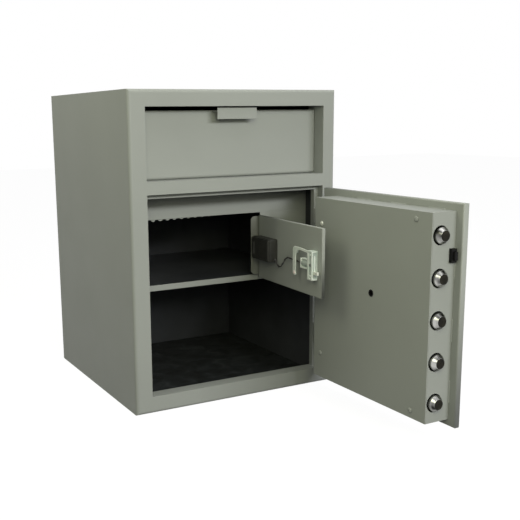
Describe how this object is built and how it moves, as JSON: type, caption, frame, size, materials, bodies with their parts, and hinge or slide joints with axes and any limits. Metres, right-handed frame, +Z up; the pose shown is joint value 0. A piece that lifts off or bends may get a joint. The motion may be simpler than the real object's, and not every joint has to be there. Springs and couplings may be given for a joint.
{
  "type": "deposit safe",
  "caption": "Front-loading deposit safe: tilt-out hopper over a locker with its own small door, and a lower compartment behind one thick door with bolts, dial and lever.",
  "frame": {"origin": "centre of the cabinet's footprint, on the underside of its base", "axes": "+Z up, -Y out of the front, +X to the hinge side of the main door; at rest the main door stands open at a right angle and the locker door almost so, as in the picture"},
  "size_m": [0.5252, 0.9674, 0.686],
  "materials": {
    "paint": "satin grey baked enamel over steel plate, faint orange peel",
    "chrome": "bright chrome plate over turned steel",
    "zinc": "zinc plate, slightly clouded",
    "steel": "bare bright mild steel",
    "dark_steel": "hardened plate with dark scale",
    "black_plastic": "moulded black plastic, fine texture",
    "rubber": "soft black sheath and membrane",
    "matting": "short-pile black needle-felt mat",
    "brass": "machined brass, dulled"
  },
  "bodies": {
    "cabinet": {"body_shell": "paint", "front_frame": "paint", "hopper_frame": "paint", "deposit_chute": "paint", "locker_header": "paint", "header_teeth": "paint", "locker_shelf": "paint", "latch_stile": "paint", "hinge_stile": "paint", "floor_mat": "matting", "body_hinge_lower": "paint", "body_hinge_upper": "paint", "hinge_pin_lower": "steel", "hinge_pin_upper": "steel", "inner_hinge_fixed": "steel", "inner_hinge_pin": "steel", "hopper_pin_left": "steel", "hopper_pin_right": "steel"},
    "main_door": {"door_plate": "paint", "bolt_box": "paint", "back_panel": "paint", "panel_screw_1": "zinc", "panel_screw_2": "zinc", "panel_screw_3": "zinc", "panel_screw_4": "zinc", "change_key_bush": "black_plastic", "hard_plate": "dark_steel", "lock_case": "zinc", "bolt_guide": "steel", "handle_cuff": "chrome", "dial_ring": "chrome", "door_hinge_lower": "paint", "door_hinge_upper": "paint", "trip_housing": "black_plastic"},
    "boltwork": {"bolt_carriage": "steel", "locking_bolt_1": "chrome", "locking_bolt_2": "chrome", "locking_bolt_3": "chrome", "locking_bolt_4": "chrome", "locking_bolt_5": "chrome"},
    "lock_bolt": {"lock_bolt": "brass"},
    "handle": {"handle_lever": "chrome", "handle_spindle": "steel"},
    "dial": {"combination_dial": "black_plastic"},
    "trip": {"trip_plunger": "black_plastic"},
    "locker_door": {"inner_door_panel": "paint", "inner_hinge_moving": "steel", "battery_box": "black_plastic", "battery_lid": "black_plastic", "inner_lock_case": "zinc", "solenoid": "zinc", "lock_bracket": "zinc", "battery_lead": "rubber", "keypad_housing": "black_plastic", "keypad_membrane": "rubber"},
    "locker_knob": {"inner_knob": "chrome"},
    "locker_latch": {"inner_latch_bolt": "brass"},
    "hopper": {"hopper_panel": "paint", "hopper_pull": "paint", "hopper_bucket": "paint"}
  },
  "joints": [
    {"name": "main_door_swing", "type": "hinge", "parent": "cabinet", "child": "main_door", "pos_m": [0.2333, -0.2661, 0.2545], "axis": [0, 0, 1], "range_deg": [-90, 10]},
    {"name": "locker_door_swing", "type": "hinge", "parent": "cabinet", "child": "locker_door", "pos_m": [0.1143, -0.156, 0.32725], "axis": [0, 0, 1], "range_deg": [-87, 9.7]},
    {"name": "bolt_throw", "type": "slide", "parent": "main_door", "child": "boltwork", "axis": [0, -1, 0], "range_m": [0, 0.015]},
    {"name": "lock_bolt_drop", "type": "slide", "parent": "main_door", "child": "lock_bolt", "axis": [0, 0, -1], "range_m": [0, 0.008]},
    {"name": "handle_turn", "type": "hinge", "parent": "main_door", "child": "handle", "pos_m": [0.2212, -0.5054, 0.195], "axis": [1, 0, 0], "range_deg": [0, 90]},
    {"name": "dial_spin", "type": "hinge", "parent": "main_door", "child": "dial", "pos_m": [0.2212, -0.5054, 0.29], "axis": [1, 0, 0], "continuous": true},
    {"name": "trip_press", "type": "slide", "parent": "main_door", "child": "trip", "axis": [0, 1, 0], "range_m": [0, 0.005], "stiffness_N_per_m": 300, "springref_m": -0.004},
    {"name": "locker_knob_turn", "type": "hinge", "parent": "locker_door", "child": "locker_knob", "pos_m": [0.10082, -0.41315, 0.328], "axis": [0.9986, -0.0523, 0], "range_deg": [0, 90]},
    {"name": "locker_latch_throw", "type": "slide", "parent": "locker_door", "child": "locker_latch", "axis": [-0.0523, -0.9986, 0], "range_m": [0, 0.012]},
    {"name": "hopper_tilt", "type": "hinge", "parent": "cabinet", "child": "hopper", "pos_m": [0, -0.2123, 0.5058], "axis": [1, 0, 0], "range_deg": [0, 35]}
  ],
  "couplings": [
    {"joint": "locker_door_swing", "follows": "main_door_swing", "ratio": 0.9666},
    {"joint": "lock_bolt_drop", "follows": "bolt_throw", "ratio": 0.533},
    {"joint": "handle_turn", "follows": "bolt_throw", "rad_per_m": 104.7},
    {"joint": "locker_latch_throw", "follows": "locker_knob_turn", "m_per_rad": 0.00763}
  ]
}
